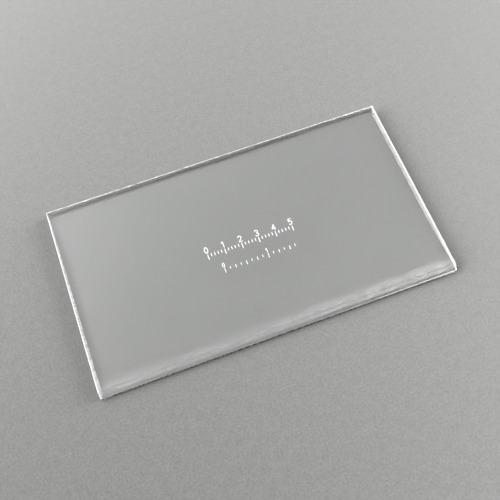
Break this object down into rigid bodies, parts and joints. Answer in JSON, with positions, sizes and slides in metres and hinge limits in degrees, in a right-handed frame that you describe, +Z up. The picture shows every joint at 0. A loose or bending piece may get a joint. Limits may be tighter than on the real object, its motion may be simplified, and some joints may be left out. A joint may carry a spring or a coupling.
{
  "type": "icing smoother",
  "caption": "Flat clear acrylic icing smoother: a rectangular plate with a milled bevel along its working edge and square-sawn back and end edges.",
  "frame": {"origin": "middle of the underside, which is the bottom centre of the bounding box", "axes": "+X along the working edge, the plate's long side; +Y from the bevelled working edge to the plain back edge; +Z up, out of the top face that the bevel is milled from"},
  "size_m": [0.2032, 0.1142, 0.006],
  "materials": {
    "clear_acrylic": "clear cast acrylic with polished faces, sawn frosted edges and a finely milled bevel"
  },
  "bodies": {
    "root": {"smoother_plate": "clear_acrylic"}
  },
  "joints": []
}
